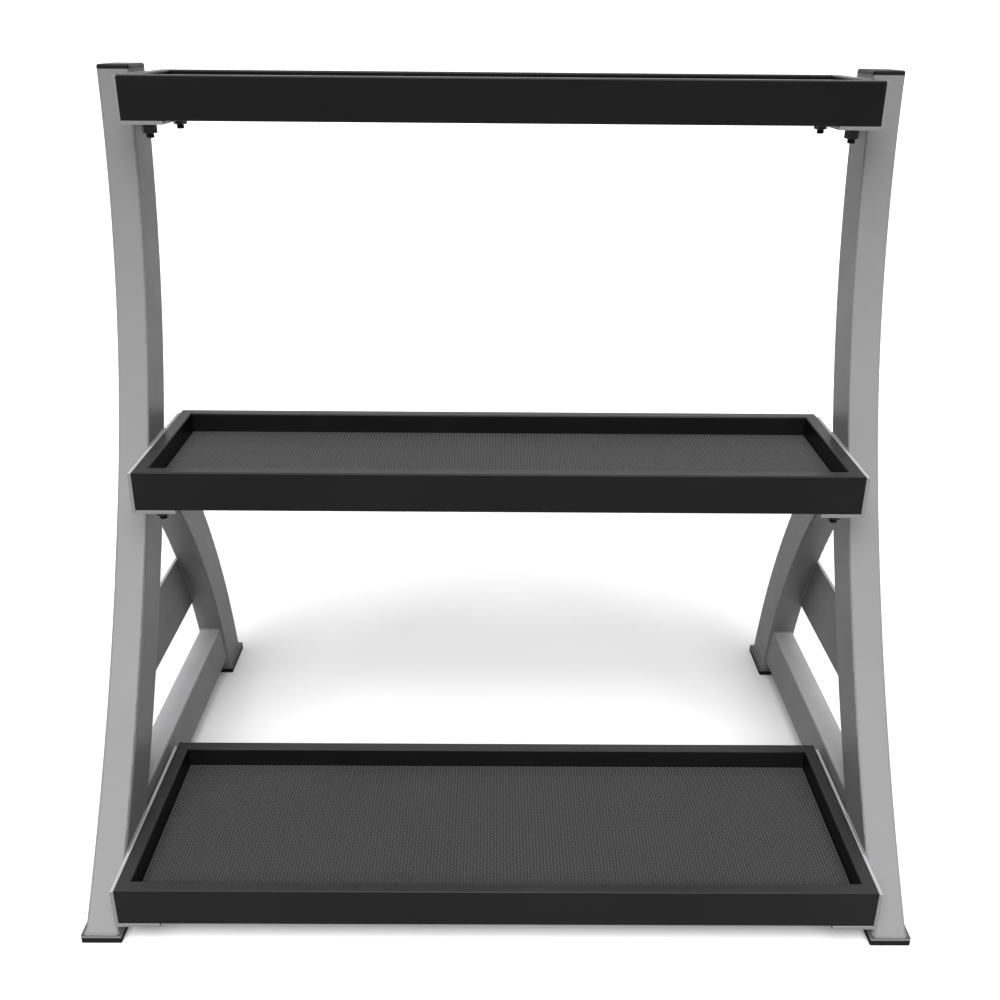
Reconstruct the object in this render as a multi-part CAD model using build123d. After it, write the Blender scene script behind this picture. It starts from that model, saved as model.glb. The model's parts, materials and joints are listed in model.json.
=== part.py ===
from build123d import *
import math
import os

# Dumbbell rack: two bent-tube side frames carrying three rubber-lined trays.
# Millimetres. +Z is up, +X is to the viewer's right, +Y runs from front to back.
# The rack is centred on X = 0 and Y = 0 and stands on Z = 0.
# Depth positions below are measured back from the front edge of the front feet.

# Trays
TRAY_WIDTH = 1060
TRAY_HEIGHT = 60
RIM_WIDTH = 20
RIM_WALL = 2
RIM_CORNER = 2.5
DECK_THICKNESS = 3
DECK_UNDERSIDE = 22      # height of the deck's underside above the tray's own bottom
MAT_THICKNESS = 5
MAT_EDGE_GAP = 0.5
STRIP_WIDTH = 40
STRIP_THICKNESS = 5

# Each tray: height of the rim top, depth front to back, position of its front face
TRAYS = {
    "bottom": {"top": 95, "depth": 340, "front": 0},
    "middle": {"top": 601, "depth": 280, "front": 287},
    "top": {"top": 1127.5, "depth": 220, "front": 438},
}

# Tray brackets: equal angle, one leg welded to the upright, one leg under the tray
ANGLE_LEG = 63
ANGLE_THICKNESS = 5
ANGLE_TOE_RADIUS = 1.5
BRACKET_BACK_SHORTFALL = 10

# Bolts holding each tray down on its brackets (M12)
BOLT_DIAMETER = 12
BOLT_LENGTH = 30
HEAD_DIAMETER = 19
HEAD_HEIGHT = 6.5
HEAD_ROUNDING = 3
HEX_ACROSS_FLATS = 19
NUT_HEIGHT = 10.8
NUT_BORE = 12.1
WASHER_OUTER = 24
WASHER_BORE = 13
WASHER_THICKNESS = 2.5
CLEARANCE_HOLE = 13.5
BOLT_FROM_TRAY_END = 30
BOLT_FROM_TRAY_FACE = 30

# Side frame tubes
TUBE_WIDTH = 46.5
TUBE_DEPTH = 80
TUBE_WALL = 2.5
TUBE_CORNER = 3.5
RAIL_WIDTH = 40
RAIL_HEIGHT = 80
RAIL_UNDERSIDE = 33
UPRIGHT_INNER_X = TRAY_WIDTH / 2 + ANGLE_THICKNESS
FRAME_CENTRE_X = UPRIGHT_INNER_X + TUBE_WIDTH / 2
FRAME_OUTER_X = UPRIGHT_INNER_X + TUBE_WIDTH

# Upright centreline: an upper bend, then a flatter lower bend tangent to it
UPRIGHT_TOP = 1132
UPRIGHT_TOP_DEPTH = 555.7
UPRIGHT_TOP_LEAN = 1.64  # degrees back from vertical
UPPER_BEND_RADIUS = 1438
UPPER_BEND_ANGLE = 24.96
LOWER_BEND_RADIUS = 2459
LOWER_BEND_ANGLE = 16

# Rear leg centreline: one bend, from the floor up into the back of the upright
LEG_FLOOR_DEPTH = 748.5
LEG_FLOOR_LEAN = 11.65   # degrees forward from vertical
LEG_BEND_RADIUS = 1182
LEG_BEND_ANGLE = 33.2

# Flat plate between upright and rear leg, flush with the outer faces
PLATE_THICKNESS = 5
PLATE_BOTTOM = 190.5
PLATE_HEIGHT = 120

# Feet
PAD_THICKNESS = 9
FOOT_THICKNESS = 3
FOOT_WIDTH = 57
FRONT_FOOT_LENGTH = 123
REAR_FOOT_LENGTH = 96
REAR_FOOT_DEPTH = 700.5
OVERALL_DEPTH = REAR_FOOT_DEPTH + REAR_FOOT_LENGTH
TUBE_FOOT = PAD_THICKNESS + FOOT_THICKNESS

# Plastic cap pushed into the upright's open top
CAP_THICKNESS = 6.5
CAP_CHAMFER = 2
CAP_PLUG_DEPTH = 22
CAP_PLUG_WALL = 2


def y_at(depth):
    """Y of a point the given distance behind the front edge of the front feet."""
    return depth - OVERALL_DEPTH / 2


def box_between(x_range, y_range, z_range):
    """Box from three pairs of limits."""
    size = [high - low for low, high in (x_range, y_range, z_range)]
    centre = [(high + low) / 2 for low, high in (x_range, y_range, z_range)]
    return Pos(*centre) * Box(*size)


# Side frame

def turned(centre, radius, lean):
    """Point on a bend, from its centre, radius and lean in degrees (downward positive)."""
    angle = math.radians(lean)
    return (centre[0] + radius * math.cos(angle), centre[1] - radius * math.sin(angle))


def bend_edge(centre, radius, lean_from, lean_to):
    """Centreline edge of one bend in the plane of the left side frame."""
    stops = (lean_from, (lean_from + lean_to) / 2, lean_to)
    points = [turned(centre, radius, lean) for lean in stops]
    return ThreePointArc(*[(-FRAME_CENTRE_X, y, z) for y, z in points])


def upright_path():
    """Centreline of the upright from just above its top down past the floor."""
    lean = math.radians(UPRIGHT_TOP_LEAN)
    top = (y_at(UPRIGHT_TOP_DEPTH), UPRIGHT_TOP)
    upper_centre = (
        top[0] - UPPER_BEND_RADIUS * math.cos(lean),
        top[1] + UPPER_BEND_RADIUS * math.sin(lean),
    )
    joint_lean = UPRIGHT_TOP_LEAN + UPPER_BEND_ANGLE
    joint = turned(upper_centre, UPPER_BEND_RADIUS, joint_lean)
    lower_centre = (
        joint[0] - LOWER_BEND_RADIUS * math.cos(math.radians(joint_lean)),
        joint[1] + LOWER_BEND_RADIUS * math.sin(math.radians(joint_lean)),
    )
    upper = bend_edge(upper_centre, UPPER_BEND_RADIUS, UPRIGHT_TOP_LEAN - 1, joint_lean)
    foot_lean = joint_lean + LOWER_BEND_ANGLE
    lower = bend_edge(lower_centre, LOWER_BEND_RADIUS, joint_lean, foot_lean)
    return Wire([upper, lower])


def leg_path():
    """Centreline of the rear leg from inside the upright down past the floor."""
    lean = math.radians(LEG_FLOOR_LEAN)
    centre = (
        y_at(LEG_FLOOR_DEPTH) - LEG_BEND_RADIUS * math.cos(lean),
        -LEG_BEND_RADIUS * math.sin(lean),
    )
    top_lean = -LEG_FLOOR_LEAN - LEG_BEND_ANGLE
    return Wire([bend_edge(centre, LEG_BEND_RADIUS, top_lean, -LEG_FLOOR_LEAN + 1)])


def swept(path, width, depth, corner):
    """Rounded rectangle swept along a path in the plane of the side frame."""
    start = Plane(origin=path @ 0, x_dir=(1, 0, 0), z_dir=path % 0)
    return sweep(start * RectangleRounded(width, depth, corner), path)


def bent_tube(path):
    """Filled outline and hollow of a bent frame tube, cut level at the foot."""
    outline = swept(path, TUBE_WIDTH, TUBE_DEPTH, TUBE_CORNER)
    inner_width = TUBE_WIDTH - 2 * TUBE_WALL
    inner_depth = TUBE_DEPTH - 2 * TUBE_WALL
    hollow = swept(path, inner_width, inner_depth, TUBE_CORNER - TUBE_WALL)
    foot_plane = Plane.XY.offset(TUBE_FOOT)
    outline = split(outline, bisect_by=foot_plane, keep=Keep.TOP)
    return outline, outline - hollow


def make_base_rail(upright_outline, leg_outline):
    """Low straight tube between the two bent tubes, coped to both."""
    length = y_at(LEG_FLOOR_DEPTH) - y_at(0)
    middle = Pos(-FRAME_CENTRE_X, y_at(0) + length / 2, RAIL_UNDERSIDE + RAIL_HEIGHT / 2)
    along = middle * Rot(90, 0, 0)
    inner_width = RAIL_WIDTH - 2 * TUBE_WALL
    inner_height = RAIL_HEIGHT - 2 * TUBE_WALL
    outer = RectangleRounded(RAIL_WIDTH, RAIL_HEIGHT, TUBE_CORNER)
    inner = RectangleRounded(inner_width, inner_height, TUBE_CORNER - TUBE_WALL)
    rail = along * extrude(outer - inner, amount=length / 2, both=True)
    return rear_piece(rail - upright_outline - leg_outline, middle.position)


def rear_piece(shape, near):
    """The one solid left after coping that lies closest to a point."""
    return min(shape.solids(), key=lambda solid: (solid.center() - near).length)


def make_gusset_plate(upright_outline, leg_outline):
    """Flat plate filling the gap between upright and rear leg on the outer side."""
    outer_x = -FRAME_OUTER_X
    blank = box_between(
        (outer_x, outer_x + PLATE_THICKNESS),
        (y_at(0), y_at(OVERALL_DEPTH)),
        (PLATE_BOTTOM, PLATE_BOTTOM + PLATE_HEIGHT),
    )
    middle = Vector(outer_x, y_at(425), PLATE_BOTTOM + PLATE_HEIGHT / 2)
    cheeks = square_outline(upright_path()) + square_outline(leg_path())
    return rear_piece(blank - cheeks, middle)


def square_outline(path):
    """Filled frame tube outline with sharp corners, for trimming flat pieces."""
    start = Plane(origin=path @ 0, x_dir=(1, 0, 0), z_dir=path % 0)
    return sweep(start * Rectangle(TUBE_WIDTH, TUBE_DEPTH), path)


def make_cap():
    """Plastic cap: chamfered top and a thin-walled plug inside the tube."""
    centre_y = y_at(UPRIGHT_TOP_DEPTH)
    outline = RectangleRounded(TUBE_WIDTH, TUBE_DEPTH, TUBE_CORNER)
    top = Pos(-FRAME_CENTRE_X, centre_y, UPRIGHT_TOP) * extrude(outline, CAP_THICKNESS)
    top = chamfer(top.faces().sort_by(Axis.Z)[-1].edges(), CAP_CHAMFER)
    plug_width = TUBE_WIDTH - 2 * TUBE_WALL - 0.6
    plug_depth = TUBE_DEPTH - 2 * TUBE_WALL - 1.6
    plug = RectangleRounded(plug_width, plug_depth, CAP_PLUG_WALL)
    plug -= Rectangle(plug_width - 2 * CAP_PLUG_WALL, plug_depth - 2 * CAP_PLUG_WALL)
    plug = Pos(-FRAME_CENTRE_X, centre_y, UPRIGHT_TOP) * extrude(plug, -CAP_PLUG_DEPTH)
    return top + plug


def foot_slab(front_depth, length, bottom, thickness):
    """Rectangular slab under one foot of the left frame."""
    centre = Pos(-FRAME_CENTRE_X, y_at(front_depth + length / 2), bottom)
    outline = RectangleRounded(FOOT_WIDTH, length, 2)
    return centre * extrude(outline, thickness)


def make_side_frame():
    """All pieces of the left side frame by name."""
    upright_outline, upright = bent_tube(upright_path())
    leg_outline, leg = bent_tube(leg_path())
    top_plane = Plane.XY.offset(UPRIGHT_TOP)
    upright = split(upright, bisect_by=top_plane, keep=Keep.BOTTOM)
    leg_near = Vector(-FRAME_CENTRE_X, y_at(LEG_FLOOR_DEPTH), 0)
    return {
        "upright": upright,
        "rear_leg": rear_piece(leg - upright_outline, leg_near),
        "base_rail": make_base_rail(upright_outline, leg_outline),
        "gusset_plate": make_gusset_plate(upright_outline, leg_outline),
        "upright_cap": make_cap(),
        "front_foot_plate": foot_slab(0, FRONT_FOOT_LENGTH, PAD_THICKNESS, FOOT_THICKNESS),
        "front_foot_pad": foot_slab(0, FRONT_FOOT_LENGTH, 0, PAD_THICKNESS),
        "rear_foot_plate": foot_slab(
            REAR_FOOT_DEPTH, REAR_FOOT_LENGTH, PAD_THICKNESS, FOOT_THICKNESS
        ),
        "rear_foot_pad": foot_slab(REAR_FOOT_DEPTH, REAR_FOOT_LENGTH, 0, PAD_THICKNESS),
    }


# Trays

def rim_tube(length, angle):
    """Straight rim tube centred on the origin, ends mitred at 45 degrees.

    The outer face of the tray is on the -Y side; `angle` turns it to the other sides.
    """
    outer = RectangleRounded(RIM_WIDTH, TRAY_HEIGHT, RIM_CORNER)
    inner_width = RIM_WIDTH - 2 * RIM_WALL
    inner_height = TRAY_HEIGHT - 2 * RIM_WALL
    inner = RectangleRounded(inner_width, inner_height, RIM_CORNER - RIM_WALL)
    tube = extrude(Plane.YZ * (outer - inner), amount=length / 2, both=True)
    half = length / 2
    short = half - RIM_WIDTH
    low = -RIM_WIDTH / 2
    high = RIM_WIDTH / 2
    keep = Polygon((-half, low), (half, low), (short, high), (-short, high), align=None)
    tube &= Pos(0, 0, -TRAY_HEIGHT) * extrude(keep, 2 * TRAY_HEIGHT)
    return Rot(0, 0, angle) * tube


def bolt_spots(depth):
    """Bolt centres in the tray's own frame (centre of the tray's underside)."""
    x = TRAY_WIDTH / 2 - BOLT_FROM_TRAY_END
    y = depth / 2 - BOLT_FROM_TRAY_FACE
    return [(side * x, face * y) for side in (-1, 1) for face in (-1, 1)]


def holes(depth, diameter):
    """Vertical cylinders at the bolt spots, long enough to cut any sheet."""
    return [Pos(x, y, 0) * Cylinder(diameter / 2, 60) for x, y in bolt_spots(depth)]


def hex_block(height):
    """Hexagon with its corners chamfered top and bottom, underside on Z = 0."""
    corner_radius = HEX_ACROSS_FLATS / math.sqrt(3)
    block = extrude(RegularPolygon(corner_radius, 6), height)
    cone = Cylinder(corner_radius, height, align=(Align.CENTER, Align.CENTER, Align.MIN))
    cone = chamfer(cone.edges().filter_by(GeomType.CIRCLE), length=0.9, length2=1.6)
    return block & cone


def make_bolt():
    """Round-headed bolt, head standing on Z = 0 and shank pointing down."""
    head = Cylinder(HEAD_DIAMETER / 2, HEAD_HEIGHT,
                    align=(Align.CENTER, Align.CENTER, Align.MIN))
    head = fillet(head.edges().sort_by(Axis.Z)[-1], HEAD_ROUNDING)
    shank = Cylinder(BOLT_DIAMETER / 2, BOLT_LENGTH,
                     align=(Align.CENTER, Align.CENTER, Align.MAX))
    shank = chamfer(shank.edges().sort_by(Axis.Z)[0], 1)
    return head + shank


def make_nut():
    """Hex nut, top face on Z = 0."""
    bore = Cylinder(NUT_BORE / 2, 4 * NUT_HEIGHT)
    return Pos(0, 0, -NUT_HEIGHT) * (hex_block(NUT_HEIGHT) - bore)


def make_washer():
    """Plain washer, top face on Z = 0."""
    ring = Circle(WASHER_OUTER / 2) - Circle(WASHER_BORE / 2)
    return extrude(ring, -WASHER_THICKNESS)


def fastener_group(piece, depth, height):
    """One fastener repeated at the four bolt spots as separate solids."""
    return Compound(children=[Pos(x, y, height) * piece for x, y in bolt_spots(depth)])


def make_strip(depth):
    """Left mounting strip: flat bar between the front and rear rims, drilled."""
    inner_end = TRAY_WIDTH / 2 - RIM_WIDTH
    half_depth = depth / 2 - RIM_WIDTH
    strip = box_between(
        (-inner_end, -inner_end + STRIP_WIDTH),
        (-half_depth, half_depth),
        (0, STRIP_THICKNESS),
    )
    return strip - holes(depth, CLEARANCE_HOLE)


def make_bracket(depth):
    """Left tray bracket: equal angle with its heel outward and below the tray."""
    toe = ANGLE_LEG - ANGLE_THICKNESS
    corner_x = -UPRIGHT_INNER_X
    outline = Polyline(
        (corner_x, -ANGLE_THICKNESS),
        (corner_x + ANGLE_LEG, -ANGLE_THICKNESS),
        (corner_x + ANGLE_LEG, 0),
        (corner_x + ANGLE_THICKNESS, 0),
        (corner_x + ANGLE_THICKNESS, toe),
        (corner_x, toe),
        close=True,
    )
    section = make_face(outline)
    toes = [
        vertex for vertex in section.vertices()
        if vertex.X > corner_x + ANGLE_LEG - 1 and vertex.Y > -1
        or vertex.X > corner_x + 1 and vertex.Y > toe - 1
    ]
    section = fillet(toes, ANGLE_TOE_RADIUS)
    length = depth - BRACKET_BACK_SHORTFALL
    angle = Rot(90, 0, 0) * extrude(section, -length)
    return Pos(0, -depth / 2, 0) * angle - holes(depth, CLEARANCE_HOLE)


def make_tray(depth):
    """All pieces of one tray by name, underside of the rims on Z = 0."""
    inner_width = TRAY_WIDTH - 2 * RIM_WIDTH
    inner_depth = depth - 2 * RIM_WIDTH
    centre_y = depth / 2 - RIM_WIDTH / 2
    centre_x = TRAY_WIDTH / 2 - RIM_WIDTH / 2
    middle = TRAY_HEIGHT / 2
    deck_top = DECK_UNDERSIDE + DECK_THICKNESS
    gap = 2 * MAT_EDGE_GAP
    nut_height = -ANGLE_THICKNESS - WASHER_THICKNESS
    strip = make_strip(depth)
    bracket = make_bracket(depth)
    return {
        "tray_front_rim": Pos(0, -centre_y, middle) * rim_tube(TRAY_WIDTH, 0),
        "tray_rear_rim": Pos(0, centre_y, middle) * rim_tube(TRAY_WIDTH, 180),
        "tray_left_rim": Pos(-centre_x, 0, middle) * rim_tube(depth, -90),
        "tray_right_rim": Pos(centre_x, 0, middle) * rim_tube(depth, 90),
        "tray_deck": Pos(0, 0, DECK_UNDERSIDE)
        * extrude(Rectangle(inner_width, inner_depth), DECK_THICKNESS),
        "tray_mat": Pos(0, 0, deck_top)
        * extrude(Rectangle(inner_width - gap, inner_depth - gap), MAT_THICKNESS),
        "tray_left_strip": strip,
        "tray_right_strip": mirror(strip, about=Plane.YZ),
        "left_bracket": bracket,
        "right_bracket": mirror(bracket, about=Plane.YZ),
        "tray_bolts": fastener_group(make_bolt(), depth, STRIP_THICKNESS),
        "tray_washers": fastener_group(make_washer(), depth, -ANGLE_THICKNESS),
        "tray_nuts": fastener_group(make_nut(), depth, nut_height),
    }


def build_all():
    """Every piece of the rack by node name."""
    pieces = {}
    for name, shape in make_side_frame().items():
        pieces["left_" + name] = shape
        pieces["right_" + name] = mirror(shape, about=Plane.YZ)
    for level, tray in TRAYS.items():
        place = Pos(0, y_at(tray["front"] + tray["depth"] / 2), tray["top"] - TRAY_HEIGHT)
        for name, shape in make_tray(tray["depth"]).items():
            pieces[level + "_" + name] = place * shape
    return pieces


os.makedirs("parts", exist_ok=True)
for node, shape in build_all().items():
    export_step(shape, "parts/" + node + ".step")
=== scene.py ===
import json
import math

import bmesh
import bpy
import numpy as np
from mathutils import Matrix, Vector
from mathutils.bvhtree import BVHTree


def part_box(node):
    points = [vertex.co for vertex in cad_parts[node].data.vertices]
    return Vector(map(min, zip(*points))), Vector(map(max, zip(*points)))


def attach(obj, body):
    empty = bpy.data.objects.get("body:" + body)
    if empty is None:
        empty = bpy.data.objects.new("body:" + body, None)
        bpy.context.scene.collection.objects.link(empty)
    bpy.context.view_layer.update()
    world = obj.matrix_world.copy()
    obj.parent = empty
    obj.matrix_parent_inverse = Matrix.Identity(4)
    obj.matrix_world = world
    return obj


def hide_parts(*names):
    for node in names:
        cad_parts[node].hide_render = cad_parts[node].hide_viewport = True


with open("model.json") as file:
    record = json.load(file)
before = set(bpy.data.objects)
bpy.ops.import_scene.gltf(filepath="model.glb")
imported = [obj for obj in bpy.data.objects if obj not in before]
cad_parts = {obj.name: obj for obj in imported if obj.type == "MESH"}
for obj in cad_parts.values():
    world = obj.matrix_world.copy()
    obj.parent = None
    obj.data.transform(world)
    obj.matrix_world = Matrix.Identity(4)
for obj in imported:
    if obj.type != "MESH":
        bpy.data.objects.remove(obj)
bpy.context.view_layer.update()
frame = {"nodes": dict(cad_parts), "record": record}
NODES = frame["nodes"]
SLOT_OF = {part["node"]: part["material_slot"] for part in frame["record"]["subparts"]}
LEVELS = ("bottom", "middle", "top")
SIDES = ("left", "right")

# Camera, in metres and degrees
CAMERA_POSITION = (-0.0083, -1.5460, 1.1871)
CAMERA_PITCH_DOWN = 23.56
CAMERA_YAW = -0.38
CAMERA_ROLL = 0.49
CAMERA_LENS = 38.79
CAMERA_SENSOR = 36.0

# Studio light: broad soft lamps, each with elevation, azimuth from the front and spread
# in degrees and a strength, under a surround that brightens upwards
LAMPS = {
    "key_light": (52.0, -4.0, 55.0, 9.4),
    "back_light": (48.0, 180.0, 50.0, 2.6),
}
SURROUND_LOW = 0.15
SURROUND_HIGH = 1.3
SURROUND_RAMP = (0.35, 0.95)
PAPER_DARK = (0.42, 0.42, 0.42)
PAPER_LIGHT = (0.435, 0.435, 0.435)

# Painted light: a paler colour where a surface faces up, by how upright its normal is, and
# painted shade, a darker colour, on the tops of the foot plates, by height in metres
LIT_TOP_NORMAL = (0.86, 0.97)
FOOT_SHADE_HEIGHT = (0.0125, 0.0160)
FOOT_SHADE_SHARE = 0.15

# Mat relief, in metres: short raised bars in columns, staggered from column to column
BAR_SPACING = 0.0049
BAR_LENGTH = 0.0068
RELIEF_HEIGHT = 0.0015
MAT_BASE = 0.0035

# Weld beads, in metres
BEAD_RADIUS = 0.0019
BEAD_RIPPLE = 0.00025
BEAD_RIPPLE_LENGTH = 0.0034
BEAD_STEP = 0.0012
SEAM_REACH = 0.0004

# Bolts, in metres
BOLT_RADIUS = 0.006
BOLT_POINT = 0.0010
HEAD_RADIUS = 0.0095
HEAD_HEIGHT = 0.0065
HEX_ACROSS_FLATS = 0.019
THREAD_PITCH = 0.00175
THREAD_DEPTH = 0.0009
THREAD_ANGLES = [2.0 * math.pi * i / 24 for i in range(24)]

# Rounding of sawn and sheared edges, in metres
EDGE_ROUNDING = {
    "gusset_plate": 0.0008,
    "foot_plate": 0.0008,
    "foot_pad": 0.0012,
    "bracket": 0.0006,
}


# Node helpers for materials

def new_material(name):
    """Empty material with a Principled shader wired to its output."""
    material = bpy.data.materials.new(name)
    material.use_nodes = True
    tree = material.node_tree
    tree.nodes.clear()
    output = tree.nodes.new("ShaderNodeOutputMaterial")
    shader = tree.nodes.new("ShaderNodeBsdfPrincipled")
    tree.links.new(shader.outputs["BSDF"], output.inputs["Surface"])
    return material, tree, shader


def object_position(tree):
    """Position in the rack's own frame, the same for every piece."""
    return tree.nodes.new("ShaderNodeTexCoord").outputs["Object"]


def noise(tree, position, scale, detail=2.0, roughness=0.5):
    """Noise value over the surface."""
    texture = tree.nodes.new("ShaderNodeTexNoise")
    texture.inputs["Scale"].default_value = scale
    texture.inputs["Detail"].default_value = detail
    texture.inputs["Roughness"].default_value = roughness
    tree.links.new(position, texture.inputs["Vector"])
    return texture.outputs["Fac"]


def remap(tree, value, low, high, out_low, out_high):
    """Value moved from one range to another and held inside it."""
    node = tree.nodes.new("ShaderNodeMapRange")
    node.inputs["From Min"].default_value = low
    node.inputs["From Max"].default_value = high
    node.inputs["To Min"].default_value = out_low
    node.inputs["To Max"].default_value = out_high
    tree.links.new(value, node.inputs["Value"])
    return node.outputs["Result"]


def blend_colours(tree, factor, first, second):
    """Mix of two colours by a factor; each colour is a tuple or a socket."""
    node = tree.nodes.new("ShaderNodeMix")
    node.data_type = "RGBA"
    tree.links.new(factor, node.inputs["Factor"])
    for name, colour in (("A", first), ("B", second)):
        socket = [s for s in node.inputs if s.name == name and s.type == "RGBA"][0]
        if isinstance(colour, tuple):
            socket.default_value = colour + (1.0,)
        else:
            tree.links.new(colour, socket)
    return [s for s in node.outputs if s.type == "RGBA"][0]


def add_bumps(tree, shader, layers):
    """Chain of bumps, each given as (height value, distance in metres, strength)."""
    normal = None
    for height, distance, strength in layers:
        bump = tree.nodes.new("ShaderNodeBump")
        bump.inputs["Distance"].default_value = distance
        bump.inputs["Strength"].default_value = strength
        tree.links.new(height, bump.inputs["Height"])
        if normal is not None:
            tree.links.new(normal, bump.inputs["Normal"])
        normal = bump.outputs["Normal"]
    tree.links.new(normal, shader.inputs["Normal"])


def grey(value):
    """Neutral colour of one brightness."""
    return (value, value, value * 1.02)


# Materials

def painted_top_light(tree, position, colour, top_light_colour):
    """Painted light, a paler colour where the surface faces upwards, and painted shade, a darker
    colour, on the tops of the feet.
    """
    normal = tree.nodes.new("ShaderNodeSeparateXYZ")
    tree.links.new(tree.nodes.new("ShaderNodeNewGeometry").outputs["Normal"], normal.inputs[0])
    level = remap(tree, normal.outputs["Z"], *LIT_TOP_NORMAL, 0.0, 1.0)
    place = tree.nodes.new("ShaderNodeSeparateXYZ")
    tree.links.new(position, place.inputs[0])
    # Painted shade on the tops of the foot plates, by height
    in_foot_shade = remap(tree, place.outputs["Z"], *FOOT_SHADE_HEIGHT, 1.0, 0.0)
    # Painted shade colour: a small share of the painted light colour, darker than the paint
    foot_shade_colour = tuple(FOOT_SHADE_SHARE * c for c in top_light_colour)
    # Uneven strength of the painted light, by noise
    top_light_unevenness = remap(tree, noise(tree, position, 9.0, 5.0, 0.65), 0.3, 0.7, 0.75, 1.0)
    top_light_amount = tree.nodes.new("ShaderNodeMath")
    top_light_amount.operation = "MULTIPLY"
    tree.links.new(level, top_light_amount.inputs[0])
    tree.links.new(top_light_unevenness, top_light_amount.inputs[1])
    return blend_colours(tree, top_light_amount.outputs[0], colour, blend_colours(tree, in_foot_shade, top_light_colour, foot_shade_colour))


def powder_coat(name, dark, light, roughness, ior, top_light_colour):
    """Satin powder coat: orange peel, fine speckle, painted light on upward faces with painted shade
    on the foot tops, and a slow change of tone.
    """
    material, tree, shader = new_material(name)
    position = object_position(tree)
    tone = remap(tree, noise(tree, position, 3.5, 3.0), 0.35, 0.65, 0.0, 1.0)
    speckle = remap(tree, noise(tree, position, 900.0, 1.0), 0.35, 0.65, 0.0, 1.0)
    colour = blend_colours(tree, tone, dark, light)
    bright = tuple(1.25 * c for c in light)
    fleck = remap(tree, speckle, 0.75, 1.0, 0.0, 0.35)
    flecked = blend_colours(tree, fleck, colour, bright)
    with_top_light = painted_top_light(tree, position, flecked, top_light_colour)
    tree.links.new(with_top_light, shader.inputs["Base Color"])
    smear = noise(tree, position, 14.0, 4.0, 0.6)
    tree.links.new(
        remap(tree, smear, 0.3, 0.7, roughness - 0.04, roughness + 0.05),
        shader.inputs["Roughness"],
    )
    shader.inputs["IOR"].default_value = ior
    peel = noise(tree, position, 420.0, 2.0)
    ripple = noise(tree, position, 60.0, 2.0)
    add_bumps(tree, shader, [(ripple, 0.0006, 0.10), (peel, 0.0002, 0.20)])
    return material


def mat_rubber(name):
    """Matt dark rubber, scuffed paler on the raised bars, with dust in patches and a grain."""
    material, tree, shader = new_material(name)
    position = object_position(tree)
    patches = remap(tree, noise(tree, position, 6.0, 4.0, 0.6), 0.35, 0.7, 0.0, 1.0)
    raised = tree.nodes.new("ShaderNodeAttribute")
    raised.attribute_name = "raised"
    worn = blend_colours(tree, patches, grey(0.027), grey(0.032))
    colour = blend_colours(tree, raised.outputs["Fac"], grey(0.011), worn)
    tree.links.new(colour, shader.inputs["Base Color"])
    tree.links.new(remap(tree, patches, 0.0, 1.0, 0.55, 0.68), shader.inputs["Roughness"])
    shader.inputs["IOR"].default_value = 1.3
    add_bumps(tree, shader, [(noise(tree, position, 1400.0, 2.0), 0.0001, 0.35)])
    return material


def moulded_black(name, colour, roughness, grain_scale, grain_strength):
    """Black moulded plastic or rubber with a fine spark-eroded grain."""
    material, tree, shader = new_material(name)
    position = object_position(tree)
    tone = remap(tree, noise(tree, position, 30.0, 3.0), 0.35, 0.65, 0.0, 1.0)
    lighter = tuple(1.4 * c for c in colour)
    tree.links.new(blend_colours(tree, tone, colour, lighter), shader.inputs["Base Color"])
    tree.links.new(
        remap(tree, tone, 0.0, 1.0, roughness - 0.05, roughness + 0.05),
        shader.inputs["Roughness"],
    )
    shader.inputs["IOR"].default_value = 1.2
    add_bumps(tree, shader, [(noise(tree, position, grain_scale, 2.0), 0.0002, grain_strength)])
    return material


def black_steel(name):
    """Black-coated fastener steel, worn slightly brighter in spots."""
    material, tree, shader = new_material(name)
    position = object_position(tree)
    spots = remap(tree, noise(tree, position, 350.0, 4.0, 0.7), 0.5, 0.75, 0.0, 1.0)
    tree.links.new(blend_colours(tree, spots, grey(0.003), grey(0.012)), shader.inputs["Base Color"])
    tree.links.new(remap(tree, spots, 0.0, 1.0, 0.34, 0.5), shader.inputs["Roughness"])
    shader.inputs["IOR"].default_value = 1.3
    add_bumps(tree, shader, [(noise(tree, position, 500.0, 3.0), 0.0002, 0.3)])
    return material


# The last colour is painted light on faces that turn upwards, with painted shade on the foot plate
# tops
SILVER_PAINT = powder_coat("silver_powder_coat", grey(0.094), grey(0.100), 0.45, 1.22, grey(0.200))
MATERIALS = {
    "frame_paint": SILVER_PAINT,
    "bracket_paint": SILVER_PAINT,
    # The last colour is painted light on the upward faces of the trays, a painted sheen on the rim
    # tops
    "tray_paint": powder_coat(
        "black_powder_coat", grey(0.0028), grey(0.0036), 0.34, 1.17, grey(0.015)
    ),
    "tray_mat": mat_rubber("mat_rubber"),
    "foot_rubber": moulded_black("foot_rubber", grey(0.0014), 0.7, 700.0, 0.4),
    "cap_plastic": moulded_black("cap_plastic", grey(0.0028), 0.42, 900.0, 0.25),
    "fastener_black": black_steel("fastener_black"),
}


def paint(piece, slot):
    """Give a piece the single material of a record slot."""
    piece.data.materials.clear()
    piece.data.materials.append(MATERIALS[slot])


def paint_cad_nodes():
    """Every CAD node gets the material of its own slot."""
    for name, node in NODES.items():
        paint(node, SLOT_OF[name])


def round_sheared_edges():
    """Small edge rounding on plates, pads and brackets."""
    for name, node in NODES.items():
        widths = [width for part, width in EDGE_ROUNDING.items() if name.endswith(part)]
        if not widths:
            continue
        bevel = node.modifiers.new("edge_rounding", "BEVEL")
        bevel.width = widths[0]
        bevel.segments = 2
        bevel.limit_method = "ANGLE"
        bevel.angle_limit = math.radians(40.0)


# Meshes

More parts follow.
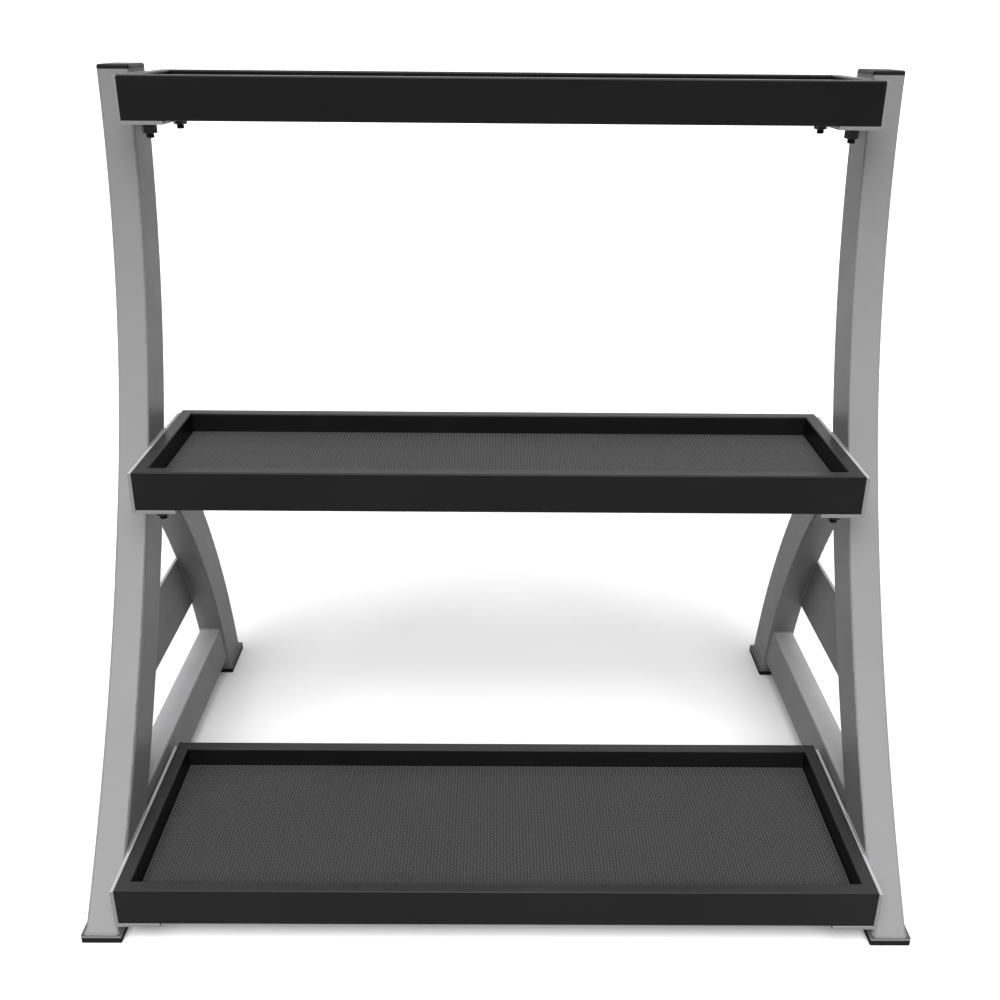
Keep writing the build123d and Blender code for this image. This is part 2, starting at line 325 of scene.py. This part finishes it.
def add_piece(name, vertices, faces, slot, smooth=False):
    """New mesh piece that rides on the rack."""
    mesh = bpy.data.meshes.new(name)
    mesh.from_pydata([tuple(v) for v in vertices], [], [tuple(f) for f in faces])
    mesh.validate()
    for polygon in mesh.polygons:
        polygon.use_smooth = smooth
    piece = bpy.data.objects.new(name, mesh)
    bpy.context.scene.collection.objects.link(piece)
    paint(piece, slot)
    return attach(piece, "root")


def tube_rings(rings, closed):
    """Faces joining rings of equal size into a tube, with end caps if it is open."""
    count = len(rings)
    size = len(rings[0])
    faces = []
    for i in range(count if closed else count - 1):
        start = i * size
        after = (i + 1) % count * size
        for j in range(size):
            k = (j + 1) % size
            faces.append((start + j, start + k, after + k, after + j))
    if not closed:
        faces.append(tuple(range(size - 1, -1, -1)))
        faces.append(tuple(range((count - 1) * size, count * size)))
    return faces


def relief_mat(level):
    """Rubber mat as one closed sheet whose top carries rows of short raised bars."""
    low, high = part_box(level + "_tray_mat")
    columns = 2 * round((high.x - low.x) / BAR_SPACING)
    rows = 4 * round((high.y - low.y) / BAR_LENGTH)
    valley = low.z + MAT_BASE
    peak = min(high.z, valley + RELIEF_HEIGHT)
    xs = np.linspace(low.x, high.x, columns + 1)
    ys = np.linspace(low.y, high.y, rows + 1)
    index = np.arange(len(xs) * len(ys)).reshape(len(ys), len(xs))
    across = np.arange(len(xs))[None, :]
    along = np.arange(len(ys))[:, None]
    notch = (along + across) % 4 == 1
    is_peak = (across % 2 == 1) & ~notch
    is_peak[0, :] = is_peak[-1, :] = False
    is_peak[:, 0] = is_peak[:, -1] = False
    heights = np.where(is_peak, peak, valley)
    grid_x, grid_y = np.meshgrid(xs, ys)
    top = np.stack([grid_x, grid_y, heights], axis=-1).reshape(-1, 3)
    a = index[:-1, :-1].ravel()
    b = index[:-1, 1:].ravel()
    c = index[1:, 1:].ravel()
    d = index[1:, :-1].ravel()
    split = is_peak.ravel()[a] | is_peak.ravel()[c]
    first = np.where(split[:, None], np.stack([a, b, d], 1), np.stack([a, b, c], 1))
    second = np.where(split[:, None], np.stack([b, c, d], 1), np.stack([a, c, d], 1))
    rim = np.concatenate([index[0, :-1], index[:-1, -1], index[-1, :0:-1], index[:0:-1, 0]])
    base = top[rim].copy()
    base[:, 2] = low.z
    lower = len(top) + np.arange(len(rim))
    skirt = np.stack([rim, lower, np.roll(lower, -1), np.roll(rim, -1)], 1)
    faces = [tuple(f) for f in np.concatenate([first, second])]
    faces += [tuple(f) for f in skirt]
    faces.append(tuple(int(i) for i in lower[::-1]))
    piece = add_piece(level + "_mat_relief", np.concatenate([top, base]), faces, "tray_mat")
    raised = piece.data.attributes.new("raised", "FLOAT", "POINT")
    raised.data.foreach_set("value", np.concatenate([is_peak.ravel(), np.zeros(len(base))]))
    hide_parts(level + "_tray_mat")


def world_mesh(name):
    """Triangle soup of a CAD node in the rack's frame, as a bmesh with joined corners."""
    node = NODES[name]
    soup = bmesh.new()
    soup.from_mesh(node.data)
    soup.transform(node.matrix_world)
    bmesh.ops.remove_doubles(soup, verts=soup.verts, dist=1e-6)
    return soup


def seam_points(piece, neighbour):
    """Runs of points where the piece's sharp edges lie on the neighbour's surface."""
    soup = world_mesh(piece)
    other = world_mesh(neighbour)
    surface = BVHTree.FromBMesh(other)
    links = {}
    places = {}

    def key_of(point):
        key = tuple(round(value / 5e-5) for value in point)
        places.setdefault(key, point)
        return key

    for edge in soup.edges:
        if len(edge.link_faces) == 2 and edge.calc_face_angle() < math.radians(20.0):
            continue
        start = edge.verts[0].co
        end = edge.verts[1].co
        steps = max(1, math.ceil((end - start).length / 0.004))
        stops = [start.lerp(end, i / steps) for i in range(steps + 1)]
        near = [surface.find_nearest(stop, SEAM_REACH)[0] is not None for stop in stops]
        for i in range(steps):
            if near[i] and near[i + 1]:
                a = key_of(stops[i])
                b = key_of(stops[i + 1])
                if a != b:
                    links.setdefault(a, set()).add(b)
                    links.setdefault(b, set()).add(a)
    soup.free()
    other.free()
    return [[places[key] for key in chain] for chain in chains(links)]


def chains(links):
    """Split a graph of linked points into open or closed chains."""
    found = []
    ends = sorted(key for key, near in links.items() if len(near) == 1)
    for start in ends + sorted(links):
        while links.get(start):
            chain = [start]
            while links.get(chain[-1]):
                after = min(links[chain[-1]])
                links[chain[-1]].discard(after)
                links[after].discard(chain[-1])
                chain.append(after)
            found.append(chain)
    return found


def evenly_spaced(points, step):
    """Points at equal spacing along a chain."""
    points = np.array([tuple(p) for p in points])
    lengths = np.concatenate([[0.0], np.cumsum(np.linalg.norm(np.diff(points, axis=0), axis=1))])
    count = max(2, round(lengths[-1] / step))
    stops = np.linspace(0.0, lengths[-1], count + 1)
    return np.stack([np.interp(stops, lengths, points[:, i]) for i in range(3)], 1), stops


def bead_mesh(points):
    """Rippled weld bead along one run of points."""
    line, stops = evenly_spaced(points, BEAD_STEP)
    closed = bool(np.linalg.norm(line[0] - line[-1]) < 1e-5)
    if closed:
        line = line[:-1]
        stops = stops[:-1]
    ahead = np.roll(line, -1, axis=0) - np.roll(line, 1, axis=0)
    if not closed:
        ahead[0] = line[1] - line[0]
        ahead[-1] = line[-1] - line[-2]
    rings = []
    side = Vector((0.31, 0.52, 0.79))
    for point, forward, stop in zip(line.tolist(), ahead.tolist(), stops.tolist()):
        forward = Vector(forward).normalized()
        side = (side - forward * side.dot(forward)).normalized()
        up = forward.cross(side)
        phase = (stop / BEAD_RIPPLE_LENGTH) % 1.0
        radius = BEAD_RADIUS + BEAD_RIPPLE * (1.0 - phase) * 2.0 - BEAD_RIPPLE
        radius += 0.00012 * math.sin(stop * 410.0) + 0.0001 * math.sin(stop * 173.0)
        centre = Vector(point)
        rings.append([
            centre + radius * (math.cos(angle) * side + math.sin(angle) * up)
            for angle in (2.0 * math.pi * j / 10 for j in range(10))
        ])
    faces = tube_rings(rings, closed)
    return [vertex for ring in rings for vertex in ring], faces


def add_beads(name, seams, slot):
    """All the weld beads of one joint as a single piece; the hidden inner loops are left out."""
    vertices = []
    faces = []
    for piece, neighbour, keep in seams:
        runs = [run for run in seam_points(piece, neighbour) if run_length(run) > 0.012]
        runs.sort(key=run_length, reverse=True)
        for run in runs[:keep]:
            more, joins = bead_mesh(run)
            faces += [tuple(i + len(vertices) for i in face) for face in joins]
            vertices += more
    if vertices:
        add_piece(name, vertices, faces, slot, smooth=True)


def run_length(points):
    """Length of a run of points."""
    return sum((b - a).length for a, b in zip(points, points[1:]))


def weld_frames():
    """Weld beads of both side frames and of the tray brackets."""
    for side in SIDES:
        part = side + "_"
        add_beads(part + "upright_foot_weld", [(part + "upright", part + "front_foot_plate", 1)],
                  "frame_paint")
        add_beads(part + "leg_foot_weld", [(part + "rear_leg", part + "rear_foot_plate", 1)],
                  "frame_paint")
        add_beads(part + "leg_top_weld", [(part + "rear_leg", part + "upright", 1)],
                  "frame_paint")
        add_beads(part + "rail_welds", [
            (part + "base_rail", part + "upright", 1),
            (part + "base_rail", part + "rear_leg", 1),
        ], "frame_paint")
        add_beads(part + "gusset_welds", [
            (part + "gusset_plate", part + "upright", 2),
            (part + "gusset_plate", part + "rear_leg", 2),
        ], "frame_paint")
        for level in LEVELS:
            bracket = level + "_" + side + "_bracket"
            add_beads(bracket + "_welds", [(bracket, part + "upright", 2)], "bracket_paint")


def threaded_bolts(level):
    """Round-headed bolts of one tray with a real helical thread below the head."""
    nuts_low, nuts_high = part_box(level + "_tray_nuts")
    low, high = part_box(level + "_tray_bolts")
    head_base = high.z - HEAD_HEIGHT
    corner = nuts_high.x - HEX_ACROSS_FLATS / math.sqrt(3)
    flat = HEX_ACROSS_FLATS / 2
    vertices = []
    faces = []
    for x in (-corner, corner):
        for y in (nuts_low.y + flat, nuts_high.y - flat):
            rings = bolt_rings(Vector((x, y, 0.0)), high.z, head_base, low.z)
            faces += [tuple(i + len(vertices) for i in face) for face in tube_rings(rings, False)]
            vertices += [vertex for ring in rings for vertex in ring]
    piece = add_piece(level + "_threaded_bolts", vertices, faces, "fastener_black")
    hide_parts(level + "_tray_bolts")


def bolt_rings(axis, top, head_base, end):
    """Rings of one bolt from the crown of its head down to its point."""
    crown = [(0.0040, top), (0.0078, top - 0.0006), (HEAD_RADIUS, top - 0.003)]
    plain = [(HEAD_RADIUS, head_base), (BOLT_RADIUS, head_base), (BOLT_RADIUS, head_base - 0.001)]
    rings = [
        [axis + Vector((radius * math.cos(a), radius * math.sin(a), z)) for a in THREAD_ANGLES]
        for radius, z in crown + plain
    ]
    start = head_base - 0.0015
    count = round((start - end) / (THREAD_PITCH / 6))
    for i in range(count + 1):
        z = start + (end - start) * i / count
        taper = max(0.0, 1.0 - (z - end) / BOLT_POINT) * BOLT_POINT
        ring = []
        for angle in THREAD_ANGLES:
            turn = (z / THREAD_PITCH - angle / (2.0 * math.pi)) % 1.0
            radius = BOLT_RADIUS - max(THREAD_DEPTH * abs(2.0 * turn - 1.0), taper)
            ring.append(axis + Vector((radius * math.cos(angle), radius * math.sin(angle), z)))
        rings.append(ring)
    return rings[::-1]


# Stage, lights and camera

def add_stage():
    """Pale floor that sweeps up into a backdrop far behind the rack."""
    width, front, flat_back, radius, height = 24.0, -12.0, 5.0, 4.0, 8.0
    profile = [(front, 0.0), (flat_back, 0.0)]
    for step in range(1, 13):
        angle = math.radians(7.5 * step)
        profile.append((flat_back + radius * math.sin(angle), radius * (1 - math.cos(angle))))
    profile.append((flat_back + radius, height + radius))
    vertices = [(x, y, z) for y, z in profile for x in (-width, width)]
    faces = [(2 * i, 2 * i + 1, 2 * i + 3, 2 * i + 2) for i in range(len(profile) - 1)]
    mesh = bpy.data.meshes.new("studio_floor")
    mesh.from_pydata(vertices, [], faces)
    for polygon in mesh.polygons:
        polygon.use_smooth = True
    floor = bpy.data.objects.new("studio_floor", mesh)
    bpy.context.scene.collection.objects.link(floor)
    material, tree, shader = new_material("studio_paper")
    position = object_position(tree)
    cloud = remap(tree, noise(tree, position, 1.5, 2.0), 0.3, 0.7, 0.0, 1.0)
    colour = blend_colours(tree, cloud, PAPER_DARK, PAPER_LIGHT)
    tree.links.new(colour, shader.inputs["Base Color"])
    shader.inputs["Roughness"].default_value = 0.9
    shader.inputs["IOR"].default_value = 1.2
    mesh.materials.append(material)


def add_lights():
    """Soft lamps in front and behind, and the surround, which shows as plain white paper."""
    for name, (elevation, azimuth, spread, strength) in LAMPS.items():
        light = bpy.data.lights.new(name, "SUN")
        light.angle = math.radians(spread)
        light.energy = strength
        lamp = bpy.data.objects.new(name, light)
        turn = Matrix.Rotation(math.radians(azimuth), 4, "Z")
        turn @= Matrix.Rotation(math.radians(90.0 - elevation), 4, "X")
        lamp.matrix_world = turn
        bpy.context.scene.collection.objects.link(lamp)
    world = bpy.data.worlds.new("studio")
    world.use_nodes = True
    tree = world.node_tree
    background = tree.nodes["Background"]
    background.inputs["Color"].default_value = (1.0, 1.0, 1.0, 1.0)
    split = tree.nodes.new("ShaderNodeSeparateXYZ")
    tree.links.new(tree.nodes.new("ShaderNodeTexCoord").outputs["Generated"], split.inputs[0])
    glow = remap(tree, split.outputs["Z"], *SURROUND_RAMP, SURROUND_LOW, SURROUND_HIGH)
    paper = tree.nodes.new("ShaderNodeMath")
    paper.operation = "MAXIMUM"
    tree.links.new(glow, paper.inputs[0])
    tree.links.new(tree.nodes.new("ShaderNodeLightPath").outputs["Is Camera Ray"], paper.inputs[1])
    tree.links.new(paper.outputs[0], background.inputs["Strength"])
    bpy.context.scene.world = world


def add_camera():
    """Camera at the height, distance and tilt that the rack is seen from."""
    data = bpy.data.cameras.new("camera")
    data.sensor_fit = "HORIZONTAL"
    data.sensor_width = CAMERA_SENSOR
    data.lens = CAMERA_LENS
    data.clip_end = 60.0
    camera = bpy.data.objects.new("camera", data)
    turn = Matrix.Rotation(math.radians(CAMERA_YAW), 4, "Z")
    turn @= Matrix.Rotation(math.radians(90.0 - CAMERA_PITCH_DOWN), 4, "X")
    turn @= Matrix.Rotation(math.radians(CAMERA_ROLL), 4, "Z")
    camera.matrix_world = Matrix.Translation(CAMERA_POSITION) @ turn
    bpy.context.scene.collection.objects.link(camera)
    bpy.context.scene.camera = camera


paint_cad_nodes()
round_sheared_edges()
for level in LEVELS:
    relief_mat(level)
    threaded_bolts(level)
weld_frames()
add_stage()
add_lights()
add_camera()
bpy.context.scene.view_settings.view_transform = "Standard"
